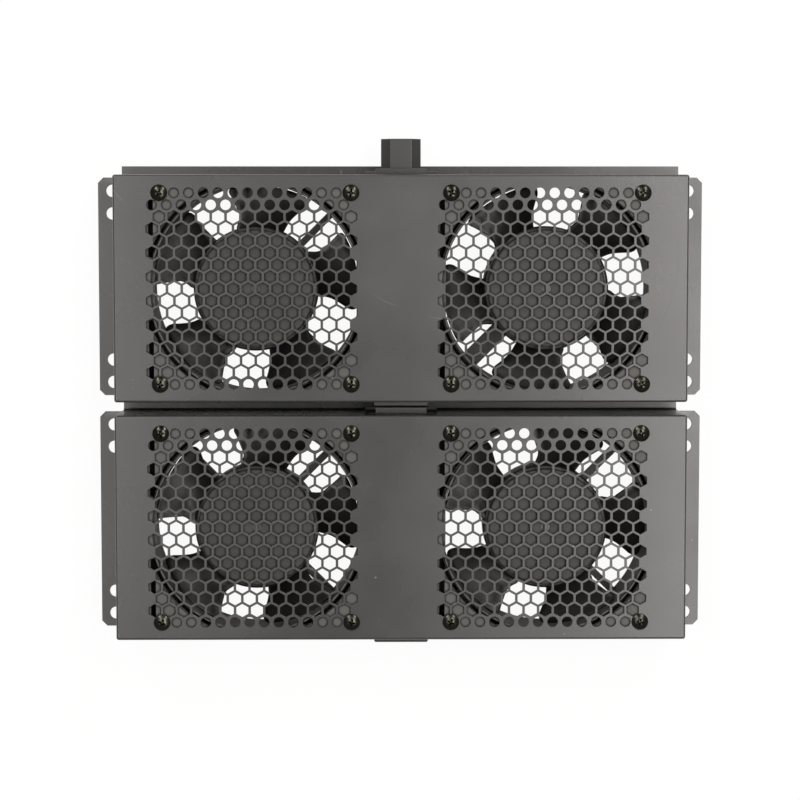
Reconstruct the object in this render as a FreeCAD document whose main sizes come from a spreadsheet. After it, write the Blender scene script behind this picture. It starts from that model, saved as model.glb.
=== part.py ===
import FreeCAD, Part
import math
import os
from FreeCAD import Placement, Rotation, Vector
import Sketcher

# A rack fan tray: two folded sheet-metal fan modules that plug into each other end to end.
# It lies on its mounting ears with the pierced face up: +X across the rack, +Y from the front
# module to the rear one, +Z out of the pierced face. The origin is under the middle of the whole.

driving_sizes = {
    # folded tray
    "side_margin": 18.5,
    "end_margin": 3,
    "tray_depth": 43,
    "sheet_metal": 1.2,
    "bend_radius": 2,
    "tray_gap": 7.2,
    "ear_reach": 12.5,
    "ear_end": 1,
    "ear_chamfer": 3,
    "ear_hole_radius": 3.5,
    "ear_hole_inset": 8.1,
    "ear_hole_end": 8.5,
    "ear_hole_step": 12.7,
    "flange_reach": 5.3,
    "flange_end": 1,
    "cover_play": 0.5,
    "cover_clearance": 1,
    # pierced field in front of each fan
    "cell_columns": 6,
    "cell_rows": 7,
    "cell_rib": 2.4,
    # axial fan
    "fan_between": 41,
    "fan_size": 119,
    "fan_depth": 38,
    "screw_inset": 7,
    "ring_wall": 2.1,
    "lug_inset": 3.5,
    "lug_height": 4,
    "lug_corner": 3.5,
    "groove_width": 2.1,
    "groove_depth": 1.5,
    "strut_width": 3.8,
    "strut_wide": 9.6,
    "strut_height": 6,
    "motor_plate_radius": 33,
    "motor_plate_height": 3,
    "tube_radius": 9.5,
    "tube_height": 29,
    "bearing_radius": 8,
    "bearing_height": 5,
    "bearing_land": 6.5,
    "lower_bearing_seat": 9,
    "upper_bearing_seat": 22,
    "cap_height": 1.2,
    "shaft_radius": 2.5,
    "shaft_fit": 0.03,
    "shaft_start": 1.6,
    "ring_clip_radius": 4.6,
    "ring_clip_height": 0.8,
    "stator_radius": 24,
    "stator_start": 12,
    "stator_height": 14,
    "winding_inner": 11,
    "winding_outer": 22,
    "winding_height": 4,
    "air_gap": 0.5,
    "cup_radius": 32.5,
    "cup_wall": 1.3,
    "cup_start": 9,
    "cup_recess": 1.5,
    "cup_edge": 1.5,
    "boss_radius": 5,
    "boss_height": 4,
    # impeller
    "blade_count": 5,
    "sleeve_wall": 1.8,
    "sleeve_start": 12,
    "sleeve_height": 21,
    "tip_clearance": 2.8,
    "blade_sheet": 1.6,
    # screws, nuts and fan terminals
    "screw_radius": 2,
    "screw_length": 12,
    "screw_play": 0.2,
    "head_radius": 4.6,
    "head_height": 2.4,
    "head_slope": 1.15,
    "nut_width": 7,
    "nut_height": 3.2,
    "block_length": 14,
    "block_reach": 6,
    "block_height": 10,
    "tab_width": 5,
    "tab_sheet": 0.8,
    "tab_reach": 4.5,
    "tab_spacing": 6,
    # power inlet and outlet
    "connector_height": 21.5,
    "bezel_width": 30,
    "bezel_height": 22,
    "bezel_reach": 3.2,
    "bezel_chamfer": 0.6,
    "inlet_wall": 1.6,
    "inlet_floor": 2.4,
    "plug_width": 22,
    "plug_height": 15.5,
    "plug_chamfer": 5,
    "plug_length": 16.4,
    "plug_play": 0.3,
    "plug_end_play": 1.4,
    "collar_width": 28.5,
    "collar_reach": 3.5,
    "wing_width": 40,
    "wing_height": 16,
    "wing_reach": 2.1,
    "outlet_inside": 10,
    "outlet_margin": 1,
    "panel_play": 0.2,
    "pin_sheet": 2,
    "pin_width": 4,
    "pin_length": 14,
    "pin_spacing": 7,
    "pin_offset": 2,
    "pin_tail": 8,
    "contact_play": 0.2,
    "contact_wall": 0.5,
    "contact_length": 13,
}

# Where the middle of a blade gap stands on each fan at rest, in degrees from +X.
gap_angles = {
    "rear_left": 48.7,
    "rear_right": 11.8,
    "front_left": 46.5,
    "front_right": 41.8,
}
strut_angles = (45, 135, 315)
wide_strut_angle = 225

doc = FreeCAD.newDocument("rack_fan_tray")
sheet = doc.addObject("Spreadsheet::Sheet", "sizes")
for row, (alias, number) in enumerate(driving_sizes.items(), start=1):
    sheet.set(f"A{row}", alias)
    sheet.set(f"B{row}", str(number))
    sheet.setAlias(f"B{row}", alias)
doc.recompute()


class Size:
    """A length with the spreadsheet formula that it comes from."""

    def __init__(self, value, formula):
        self.value = value
        self.formula = formula

    def __add__(self, other):
        other = as_size(other)
        return Size(self.value + other.value, f"({self.formula} + {other.formula})")

    def __sub__(self, other):
        other = as_size(other)
        return Size(self.value - other.value, f"({self.formula} - {other.formula})")

    def __mul__(self, factor):
        return Size(self.value * factor, f"{self.formula} * {factor}")

    def __truediv__(self, factor):
        return Size(self.value / factor, f"{self.formula} / {factor}")

    def __neg__(self):
        return Size(-self.value, f"(0 - {self.formula})")


def as_size(length):
    return length if isinstance(length, Size) else Size(length, str(length))


def size(alias):
    return Size(float(sheet.get(alias)), f"sizes.{alias}")


# --- places worked out from the driving sizes ---

fan_pitch = size("fan_size") + size("fan_between")
half_width = fan_pitch / 2 + size("fan_size") / 2 + size("side_margin")
half_length = size("fan_size") / 2 + size("end_margin")
module_pitch = half_length * 2 + size("tray_gap")
fan_base = size("tray_depth") - size("sheet_metal") - size("fan_depth")
plug_tip = size("collar_reach") + size("plug_length")
front_overhang = size("bezel_reach") + half_length
rear_overhang = half_length + plug_tip
module_y = {
    "front": (front_overhang - rear_overhang - module_pitch) / 2,
    "rear": (front_overhang - rear_overhang - module_pitch) / 2 + module_pitch,
}
fan_x = {
    "left": -fan_pitch / 2,
    "right": fan_pitch / 2,
}
ring_bore = size("fan_size") / 2 - size("ring_wall")
blade_tip = ring_bore - size("tip_clearance")
screw_half = size("fan_size") / 2 - size("screw_inset")
lug_half = size("fan_size") / 2 - size("lug_inset")
head_seat = size("fan_depth") + size("sheet_metal")
cup_top = size("fan_depth") - size("cup_recess")
sleeve_radius = size("cup_radius") + size("sleeve_wall")
plug_depth = size("plug_length") + size("collar_reach") + size("bezel_reach") - size("tray_gap")
inlet_depth = plug_depth + size("plug_end_play")
pin_spots = (
    (-size("pin_spacing"), size("connector_height") - size("pin_offset")),
    (size("pin_spacing"), size("connector_height") - size("pin_offset")),
    (as_size(0), size("connector_height") + size("pin_offset")),
)

inlet_half_width = size("plug_width") / 2 + size("plug_play") + size("inlet_wall")
inlet_half_height = size("plug_height") / 2 + size("plug_play") + size("inlet_wall")
outlet_half_width = size("plug_width") / 2 + size("outlet_margin")
outlet_half_height = size("plug_height") / 2 + size("outlet_margin")

kept = []


def keep(piece, label, x=0, y=0, z=0, turn=0):
    """Names a finished sub-part and binds its place in the whole to the sheet."""
    piece.Label = label
    piece.Placement = Placement(Vector(0, 0, 0), Rotation(Vector(0, 0, 1), turn))
    for axis, distance in (("x", x), ("y", y), ("z", z)):
        piece.setExpression(f"Placement.Base.{axis}", as_size(distance).formula)
    kept.append(piece)
    return piece


# --- sketch helpers ---

def new_body(name):
    return doc.addObject("PartDesign::Body", name + "_body")


def new_sketch(body, role="XY_Plane", lift=0, turn=0):
    plane = next(f for f in body.Origin.OriginFeatures if f.Role == role)
    sketch = body.newObject("Sketcher::SketchObject", "sketch")
    sketch.AttachmentSupport = [(plane, "")]
    sketch.MapMode = "FlatFace"
    sketch.AttachmentOffset = Placement(Vector(0, 0, 0), Rotation(Vector(0, 0, 1), turn))
    sketch.setExpression("AttachmentOffset.Base.z", as_size(lift).formula)
    return sketch


def hold_point(sketch, edge, end, x, y):
    """Holds one point of a sketch at distances that follow the sheet."""
    for kind, axis, distance in (("DistanceX", -2, x), ("DistanceY", -1, y)):
        if abs(distance.value) < 1e-9:
            sketch.addConstraint(Sketcher.Constraint("PointOnObject", edge, end, axis))
            continue
        held = sketch.addConstraint(
            Sketcher.Constraint(kind, -1, 1, edge, end, distance.value)
        )
        sketch.setExpression(f"Constraints[{held}]", distance.formula)


def draw_outline(sketch, points):
    """Draws a closed outline of straight lines through points that follow the sheet."""
    points = [(as_size(x), as_size(y)) for x, y in points]
    corners = [Vector(x.value, y.value, 0) for x, y in points]
    first = sketch.GeometryCount
    for start, end in zip(corners, corners[1:] + corners[:1]):
        sketch.addGeometry(Part.LineSegment(start, end))
    for step, (x, y) in enumerate(points):
        before = first + (step - 1) % len(points)
        sketch.addConstraint(Sketcher.Constraint("Coincident", before, 2, first + step, 1))
        hold_point(sketch, first + step, 1, x, y)


def draw_box(sketch, left, low, right, high):
    draw_outline(sketch, [(left, low), (right, low), (right, high), (left, high)])


def draw_circle(sketch, radius, x=0, y=0):
    radius, x, y = as_size(radius), as_size(x), as_size(y)
    circle = sketch.addGeometry(
        Part.Circle(Vector(x.value, y.value, 0), Vector(0, 0, 1), radius.value)
    )
    hold_point(sketch, circle, 3, x, y)
    held = sketch.addConstraint(Sketcher.Constraint("Radius", circle, radius.value))
    sketch.setExpression(f"Constraints[{held}]", radius.formula)


def pad(body, sketch, length, down=False):
    feature = body.newObject("PartDesign::Pad", "pad")
    feature.Profile = sketch
    feature.setExpression("Length", as_size(length).formula)
    feature.Reversed = down
    return feature


def pocket(body, sketch, length=None, up=False):
    """Cuts below the sketch, or above it with up, and right through without a length."""
    feature = body.newObject("PartDesign::Pocket", "pocket")
    feature.Profile = sketch
    feature.Reversed = up
    if length is None:
        feature.Type = "ThroughAll"
    else:
        feature.setExpression("Length", as_size(length).formula)
    return feature


def revolve(body, sketch):
    """Turns a profile drawn in the XZ plane once round the Z axis."""
    feature = body.newObject("PartDesign::Revolution", "revolution")
    feature.Profile = sketch
    feature.ReferenceAxis = (sketch, ["V_Axis"])
    feature.Angle = 360
    return feature


def tube(name, inner, outer, low, high):
    """A plain ring between two radii and two heights, as a revolved body."""
    body = new_body(name)
    sketch = new_sketch(body, "XZ_Plane")
    draw_box(sketch, inner, low, outer, high)
    revolve(body, sketch)
    return body


def round_edges(body, base, radius, wanted, kind="PartDesign::Fillet"):
    """Rounds or chamfers the edges of base that wanted picks out."""
    doc.recompute()
    names = [f"Edge{n}" for n, e in enumerate(base.Shape.Edges, start=1) if wanted(e)]
    feature = body.newObject(kind, "edges")
    feature.Base = (base, names)
    feature.setExpression("Radius" if kind.endswith("Fillet") else "Size", radius.formula)
    body.Tip = feature
    return feature


# --- folded tray ---

def cell_outline(x, y, across, tall, rib):
    """Corners of one upright six-sided cell, drawn in from its neighbours by half a rib."""
    half = (across - rib) / 2
    point = tall * 2 / 3 - rib / math.sqrt(3)
    shoulder = tall / 3 - rib * 0.29
    return [
        Vector(x + half, y + shoulder, 0),
        Vector(x, y + point, 0),
        Vector(x - half, y + shoulder, 0),
        Vector(x - half, y - shoulder, 0),
        Vector(x, y - point, 0),
        Vector(x + half, y - shoulder, 0),
    ]


def make_cells(module):
    """Rows of cells over each fan's screw square; every second row steps half a cell left."""
    columns = int(size("cell_columns").value)
    rows = int(size("cell_rows").value)
    across = screw_half.value * 2 / (columns - 1)
    tall = screw_half.value * 2 / (rows - 1)
    rib = size("cell_rib").value
    prisms = []
    for middle in fan_x.values():
        for row in range(rows):
            for column in range(columns):
                if row in (0, rows - 1) and column in (0, columns - 1):
                    continue  # a fan screw stands here
                shift = across / 2 if row % 2 else 0
                x = middle.value - screw_half.value + column * across - shift
                y = screw_half.value - row * tall
                corners = cell_outline(x, y, across, tall, rib)
                face = Part.Face(Part.makePolygon(corners + corners[:1]))
                prisms.append(face.extrude(Vector(0, 0, 3 * size("sheet_metal").value)))
    cells = doc.addObject("Part::Feature", module + "_cells")
    cells.Shape = Part.makeCompound(prisms)
    cells.Placement.Base.z = size("tray_depth").value - 2 * size("sheet_metal").value
    return cells


def make_tray(module):
    body = new_body(module + "_tray")
    outline = new_sketch(body)
    draw_box(outline, -half_width, -half_length, half_width, half_length)
    block = pad(body, outline, size("tray_depth"))
    folded = round_edges(
        body, block, size("bend_radius"), lambda e: e.BoundBox.ZMax > size("sheet_metal").value
    )

    hollow = new_sketch(body)
    wall = size("sheet_metal")
    draw_box(hollow, wall - half_width, wall - half_length, half_width - wall, half_length - wall)
    pocket(body, hollow, size("tray_depth") - wall, up=True)

    # ears turned out at both ends, with the corners cut off
    ears = new_sketch(body)
    reach = half_width + size("ear_reach")
    ear = half_length - size("ear_end")
    cut = size("ear_chamfer")
    for side in (-1, 1):
        draw_outline(ears, [
            ((half_width - wall) * side, -ear),
            ((reach - cut) * side, -ear),
            (reach * side, cut - ear),
            (reach * side, ear - cut),
            ((reach - cut) * side, ear),
            ((half_width - wall) * side, ear),
        ])
    pad(body, ears, wall)

    # lip turned out along the rear wall
    lip = new_sketch(body)
    lip_half = half_width - size("flange_end")
    draw_box(lip, -lip_half, half_length - wall, lip_half, half_length + size("flange_reach"))
    pad(body, lip, wall)

    holes = new_sketch(body)
    far = half_length - size("ear_hole_end")
    for side in (-1, 1):
        for level in (far, far - size("ear_hole_step")):
            for end in (-1, 1):
                across = (reach - size("ear_hole_inset")) * side
                draw_circle(holes, size("ear_hole_radius"), across, level * end)
    pocket(body, holes, wall, up=True)

    # the screw holes go through the face only
    pierced = new_sketch(body, lift=size("tray_depth") - wall)
    draw_screw_holes(pierced)
    pocket(body, pierced, up=True)

    # cut-outs for the power inlet in the front wall and the outlet in the rear wall
    play = size("panel_play")
    for half_hole, half_rise, lift in (
        (inlet_half_width + play, inlet_half_height + play, half_length - wall),
        (outlet_half_width + play, outlet_half_height + play, -half_length),
    ):
        window = new_sketch(body, "XZ_Plane", lift=lift)
        middle = size("connector_height")
        draw_box(window, -half_hole, middle - half_rise, half_hole, middle + half_rise)
        pocket(body, window, wall, up=True)

    tray = doc.addObject("Part::Cut", module + "_pierced_tray")
    tray.Base = body
    tray.Tool = make_cells(module)
    keep(tray, module + "_tray", y=module_y[module])


def draw_screw_holes(sketch):
    """Clearance holes for the four screws of both fans."""
    for middle in fan_x.values():
        for side in (-1, 1):
            for end in (-1, 1):
                draw_circle(
                    sketch,
                    size("screw_radius") + size("screw_play"),
                    middle + screw_half * side,
                    screw_half * end,
                )


def make_cover(module):
    """Flat sheet that closes the tray behind the fans, open behind each of them."""
    body = new_body(module + "_cover")
    base = fan_base - size("sheet_metal")
    outline = new_sketch(body, lift=base)
    reach = half_width - size("sheet_metal") - size("cover_play")
    length = half_length - size("sheet_metal") - size("cover_play")
    draw_box(outline, -reach, -length, reach, length)
    pad(body, outline, size("sheet_metal"))
    openings = new_sketch(body, lift=base)
    for middle in fan_x.values():
        draw_circle(openings, ring_bore + size("cover_clearance"), middle)
    draw_screw_holes(openings)
    pocket(body, openings, up=True)
    keep(body, module + "_bottom_cover", y=module_y[module])


# --- fan parts, each drawn about the fan's own axis with its far side at zero ---

def keep_on_fan(piece, fan, part, turn=0):
    module, side = fan.split("_")
    keep(piece, f"{fan}_{part}", fan_x[side], module_y[module], fan_base, turn)


def make_frame(fan):
    """Cast ring with mounting lugs at both faces, struts and the motor plate behind."""
    body = new_body(fan + "_frame")
    ring = new_sketch(body)
    draw_circle(ring, size("fan_size") / 2)
    pad(body, ring, size("fan_depth"))
    for lift in (0, size("fan_depth") - size("lug_height")):
        lugs = new_sketch(body, lift=lift)
        draw_box(lugs, -lug_half, -lug_half, lug_half, lug_half)
        lug_pad = pad(body, lugs, size("lug_height"))
    corner = lug_half.value * math.sqrt(2) - 1e-3
    round_edges(body, lug_pad, size("lug_corner"), lambda e: reach_of(e) > corner)
    groove = new_sketch(body, lift=size("fan_depth"))
    draw_circle(groove, size("fan_size") / 2)
    draw_circle(groove, size("fan_size") / 2 + size("groove_width"))
    pocket(body, groove, size("groove_depth"))
    bore = new_sketch(body)
    draw_circle(bore, ring_bore)
    for side in (-1, 1):
        for end in (-1, 1):
            draw_circle(
                bore, size("screw_radius") + size("screw_play"), screw_half * side, screw_half * end
            )
    pocket(body, bore, up=True)

    for angle in (*strut_angles, wide_strut_angle):
        strut = new_sketch(body, turn=angle)
        wide = size("strut_wide") if angle == wide_strut_angle else size("strut_width")
        start = size("motor_plate_radius") - size("strut_height") / 2
        draw_box(strut, start, -wide / 2, ring_bore + size("ring_wall") / 2, wide / 2)
        pad(body, strut, size("strut_height"))
    plate = new_sketch(body)
    draw_circle(plate, size("motor_plate_radius"))
    pad(body, plate, size("motor_plate_height"))
    bearing_tube = new_sketch(body)
    draw_circle(bearing_tube, size("tube_radius"))
    pad(body, bearing_tube, size("tube_height"))
    land = new_sketch(body)
    draw_circle(land, size("bearing_land"))
    pocket(body, land, up=True)
    for lift, up in ((size("lower_bearing_seat"), False), (size("upper_bearing_seat"), True)):
        seat = new_sketch(body, lift=lift)
        draw_circle(seat, size("bearing_radius"))
        pocket(body, seat, up=up)
    keep_on_fan(body, fan, "frame")


def reach_of(edge):
    """How far an edge's middle stands from the fan's axis."""
    return math.hypot(edge.CenterOfMass.x, edge.CenterOfMass.y)


def make_bearings(fan):
    """Two ball bearings, at the two ends of the frame's tube, drawn as whole rings."""
    inner = size("shaft_radius") + size("shaft_fit")
    seats = (size("lower_bearing_seat") - size("bearing_height"), size("upper_bearing_seat"))
    rings = []
    for number, low in enumerate(seats, start=1):
        high = low + size("bearing_height")
        rings.append(tube(f"{fan}_bearing_{number}", inner, size("bearing_radius"), low, high))
    pair = doc.addObject("Part::Compound", fan + "_bearing_pair")
    pair.Links = rings
    keep_on_fan(pair, fan, "bearings")


def make_shaft(fan):
    body = new_body(fan + "_shaft")
    sketch = new_sketch(body, lift=size("shaft_start"))
    draw_circle(sketch, size("shaft_radius"))
    pad(body, sketch, cup_top - size("cup_wall") / 2 - size("shaft_start"))
    keep_on_fan(body, fan, "shaft")


def make_windings(fan):
    """The coil ends above and below the laminations."""
    low = size("stator_start")
    high = low + size("stator_height")
    coils = []
    for number, start in enumerate((low - size("winding_height"), high), start=1):
        coils.append(tube(
            f"{fan}_coil_{number}",
            size("winding_inner"),
            size("winding_outer"),
            start,
            start + size("winding_height"),
        ))
    pair = doc.addObject("Part::Compound", fan + "_coil_pair")
    pair.Links = coils
    keep_on_fan(pair, fan, "windings")


def make_cup(fan):
    """Deep-drawn rotor cup with a boss for the shaft and a bevelled top edge."""
    body = new_body(fan + "_cup")
    wall = size("cup_wall")
    profile = new_sketch(body, "XZ_Plane")
    draw_outline(profile, [
        (size("shaft_radius"), cup_top),
        (size("shaft_radius"), cup_top - wall - size("boss_height")),
        (size("boss_radius"), cup_top - wall - size("boss_height")),
        (size("boss_radius"), cup_top - wall),
        (size("cup_radius") - wall, cup_top - wall),
        (size("cup_radius") - wall, size("cup_start")),
        (size("cup_radius"), size("cup_start")),
        (size("cup_radius"), cup_top),
    ])
    turned = revolve(body, profile)
    rim = size("cup_radius").value
    top = cup_top.value
    round_edges(
        body,
        turned,
        size("cup_edge"),
        lambda e: abs(e.BoundBox.XMax - rim) < 1e-3 and abs(e.BoundBox.ZMin - top) < 1e-3,
        "PartDesign::Chamfer",
    )
    keep_on_fan(body, fan, "rotor_cup", gap_angles[fan])


# One blade seen from its far edge: how far along the blade's middle line the station is, how
# far the low and the high edge stand to either side of it, and the heights of those two edges.
blade_stations = (
    (sleeve_radius - 3.8, -11, 13.5, 12.5, 33),
    (sleeve_radius + 5.7, -15.6, 12.3, 13, 32.5),
    (blade_tip + 2.4, -31.5, 25, 15.5, 31.5),
)
blade_camber = 1.6


def make_impeller(fan):
    """Sleeve and swept blades; the blades are lofted, then trimmed to the tip circle."""
    body = new_body(fan + "_impeller")
    sleeve = new_sketch(body)
    draw_circle(sleeve, sleeve_radius)
    sleeve.setExpression("AttachmentOffset.Base.z", "sizes.sleeve_start")
    pad(body, sleeve, size("sleeve_height"))
    blade = body.newObject("PartDesign::AdditiveLoft", "blade")
    sections = [new_blade_section(body, *station) for station in blade_stations]
    blade.Ruled = True
    blade.Profile = sections[0]
    blade.Sections = sections[1:]
    trim = new_sketch(body, lift=size("fan_depth"))
    draw_circle(trim, blade_tip)
    draw_circle(trim, size("fan_size"))
    tips = pocket(body, trim)
    doc.recompute()
    blades = body.newObject("PartDesign::PolarPattern", "blades")
    blades.Originals = [blade, tips]
    blades.Axis = (sleeve, ["N_Axis"])
    blades.Angle = 360
    blades.setExpression("Occurrences", "sizes.blade_count")
    body.Tip = blades
    bore = new_sketch(body)
    draw_circle(bore, size("cup_radius"))
    body.Tip = pocket(body, bore, up=True)
    keep_on_fan(body, fan, "impeller", gap_angles[fan] + 180 / size("blade_count").value)


def new_blade_section(body, station, low_side, high_side, low, high):
    """One curved cross-section of a blade, square to its middle line."""
    sketch = new_sketch(body, "YZ_Plane", lift=station)
    half = size("blade_sheet").value / 2
    middle = Vector((low_side + high_side) / 2, (low + high) / 2 + blade_camber, 0)
    corners = [Vector(low_side, low, 0), Vector(high_side, high, 0)]
    lift = Vector(0, half, 0)
    sketch.addGeometry([
        Part.Arc(corners[0] - lift, middle - lift, corners[1] - lift),
        Part.LineSegment(corners[1] - lift, corners[1] + lift),
        Part.Arc(corners[0] + lift, middle + lift, corners[1] + lift),
        Part.LineSegment(corners[0] + lift, corners[0] - lift),
    ])
    return sketch


def make_fan(fan):
    make_frame(fan)
    cap = tube_cap(fan)
    keep_on_fan(cap, fan, "bearing_cap")
    make_bearings(fan)
    core_end = size("stator_start") + size("stator_height")
    core = tube(
        fan + "_core", size("tube_radius"), size("stator_radius"), size("stator_start"), core_end
    )
    keep_on_fan(core, fan, "stator_core")
    make_windings(fan)
    make_shaft(fan)
    clip_top = size("lower_bearing_seat") - size("bearing_height") - size("air_gap")
    clip = tube(
        fan + "_clip",
        size("shaft_radius"),
        size("ring_clip_radius"),
        clip_top - size("ring_clip_height"),
        clip_top,
    )
    keep_on_fan(clip, fan, "retaining_ring")
    iron = tube(
        fan + "_iron",
        size("stator_radius") + size("air_gap"),
        size("cup_radius") - size("cup_wall"),
        size("stator_start"),
        core_end,
    )
    keep_on_fan(iron, fan, "rotor_iron")
    make_cup(fan)
    make_impeller(fan)


def tube_cap(fan):
    body = new_body(fan + "_cap")
    sketch = new_sketch(body)
    draw_circle(sketch, size("bearing_radius"))
    pad(body, sketch, size("cap_height"))
    return body


# --- screws, nuts and fan terminals, as groups of equal pieces in one module ---

def spread(master, label, module, spots):
    """Copies a master piece to several spots of one module as one group of solids."""
    doc.recompute()
    copies = [master.Shape.transformed(spot.toMatrix()) for spot in spots]
    group = doc.addObject("Part::Feature", label)
    group.Shape = Part.makeCompound(copies)
    keep(group, label, y=module_y[module], z=fan_base)


def screw_spots():
    """The places of the screws at the face, then of those behind, which are turned over."""
    half = screw_half.value
    upright = Rotation(Vector(1, 0, 0), 0)
    turned = Rotation(Vector(1, 0, 0), 180)
    return [
        Placement(Vector(middle.value + half * side, half * end, lift), way)
        for lift, way in ((0, upright), (size("fan_depth").value, turned))
        for middle in fan_x.values()
        for side in (-1, 1)
        for end in (-1, 1)
    ]


def make_screws(module):
    """Pan-head screws through the face or the cover and a lug of the fan, each into a nut."""
    body = new_body(module + "_screw")
    profile = new_sketch(body, "XZ_Plane")
    head_top = head_seat + size("head_height")
    draw_outline(profile, [
        (0, head_seat - size("screw_length")),
        (size("screw_radius"), head_seat - size("screw_length")),
        (size("screw_radius"), head_seat),
        (size("head_radius"), head_seat),
        (size("head_radius") - size("head_slope"), head_top),
        (0, head_top),
    ])
    revolve(body, profile)
    spread(body, module + "_fan_screws", module, screw_spots())


def make_nuts(module):
    top = size("fan_depth") - size("lug_height")
    body = new_body(module + "_nut")
    sketch = new_sketch(body, lift=top)
    corner = size("nut_width") / math.sqrt(3)
    draw_outline(sketch, [
        (corner * math.cos(math.radians(60 * n)), corner * math.sin(math.radians(60 * n)))
        for n in range(6)
    ])
    draw_circle(sketch, size("screw_radius"))
    pad(body, sketch, size("nut_height"), down=True)
    spread(body, module + "_fan_nuts", module, screw_spots())


def make_terminals(module):
    """An insulating block and two push-on tabs where each fan's wide strut meets its ring."""
    block = new_body(module + "_block")
    low = size("lug_height")
    middle = low + size("block_height") / 2
    start = size("fan_size") / 2
    end = start + size("block_reach")
    half = size("block_length") / 2
    base = new_sketch(block, lift=low)
    draw_box(base, start, -half, end, half)
    pad(block, base, size("block_height"))
    tabs = []
    for number, side in enumerate((-1, 1), start=1):
        slot = new_sketch(block, "YZ_Plane", lift=end - size("block_reach") / 2)
        off = size("tab_spacing") / 2 * side
        rise = size("tab_width") / 2
        thick = size("tab_sheet") / 2
        draw_box(slot, off - thick, middle - rise, off + thick, middle + rise)
        pocket(block, slot, size("block_reach"), up=True)
        tab = new_body(f"{module}_tab_{number}")
        outline = new_sketch(tab, "YZ_Plane", lift=end - size("block_reach") / 2)
        draw_box(outline, off - thick, middle - rise, off + thick, middle + rise)
        pad(tab, outline, size("block_reach") / 2 + size("tab_reach"))
        tabs.append(tab)
    pair = doc.addObject("Part::Compound", module + "_tab_pair")
    pair.Links = tabs
    turn = Rotation(Vector(0, 0, 1), wide_strut_angle)
    spots = [Placement(Vector(middle.value, 0, 0), turn) for middle in fan_x.values()]
    spread(block, module + "_terminal_blocks", module, spots)
    spread(pair, module + "_fan_terminals", module, spots)


# --- power inlet and outlet ---

def plug_outline(half_wide, half_tall, corner):
    """Cross-section of the plug and of its socket: two corners cut off on the face side."""
    middle = size("connector_height")
    return [
        (-half_wide, middle - half_tall),
        (half_wide, middle - half_tall),
        (half_wide, middle + half_tall - corner),
        (half_wide - corner, middle + half_tall),
        (corner - half_wide, middle + half_tall),
        (-half_wide, middle + half_tall - corner),
    ]


def draw_panel(sketch, half_wide, half_tall):
    middle = size("connector_height")
    draw_box(sketch, -half_wide, middle - half_tall, half_wide, middle + half_tall)


def make_inlet(module):
    """Recessed power inlet in the front wall, with three flat pins."""
    body = new_body(module + "_inlet")
    # a lift on the XZ plane counts towards -Y, which is out of the front wall
    mouth = half_length + size("bezel_reach")
    bezel = new_sketch(body, "XZ_Plane", lift=half_length)
    draw_panel(bezel, size("bezel_width") / 2, size("bezel_height") / 2)
    bezel_pad = pad(body, bezel, size("bezel_reach"))
    front = -mouth.value
    round_edges(
        body,
        bezel_pad,
        size("bezel_chamfer"),
        lambda e: abs(e.BoundBox.YMax - front) < 1e-3,
        "PartDesign::Chamfer",
    )
    shell = new_sketch(body, "XZ_Plane", lift=half_length)
    draw_panel(shell, inlet_half_width, inlet_half_height)
    inside = inlet_depth + size("inlet_floor") - size("bezel_reach")
    pad(body, shell, inside, down=True)
    cavity = new_sketch(body, "XZ_Plane", lift=mouth)
    play = size("plug_play")
    half_wide = size("plug_width") / 2 + play
    half_tall = size("plug_height") / 2 + play
    draw_outline(cavity, plug_outline(half_wide, half_tall, size("plug_chamfer")))
    pocket(body, cavity, inlet_depth)
    holes = new_sketch(body, "XZ_Plane", lift=mouth - inlet_depth)
    for x, z in pin_spots:
        draw_pin(holes, x, z)
    pocket(body, holes)
    keep(body, module + "_inlet_housing", y=module_y[module])

    pins = []
    for number, (x, z) in enumerate(pin_spots, start=1):
        pin = new_body(f"{module}_pin_{number}")
        blade = new_sketch(pin, "XZ_Plane", lift=mouth - inlet_depth + size("pin_length"))
        draw_pin(blade, x, z)
        pad(pin, blade, size("pin_length") + size("inlet_floor") + size("pin_tail"), down=True)
        pins.append(pin)
    keep_group(pins, module, "inlet_pins")


def draw_pin(sketch, x, z, around=0):
    half_wide = size("pin_sheet") / 2 + around
    half_tall = size("pin_width") / 2 + around
    draw_box(sketch, x - half_wide, z - half_tall, x + half_wide, z + half_tall)


def keep_group(pieces, module, part):
    group = doc.addObject("Part::Compound", f"{module}_{part}_group")
    group.Links = pieces
    keep(group, f"{module}_{part}", y=module_y[module])


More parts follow.
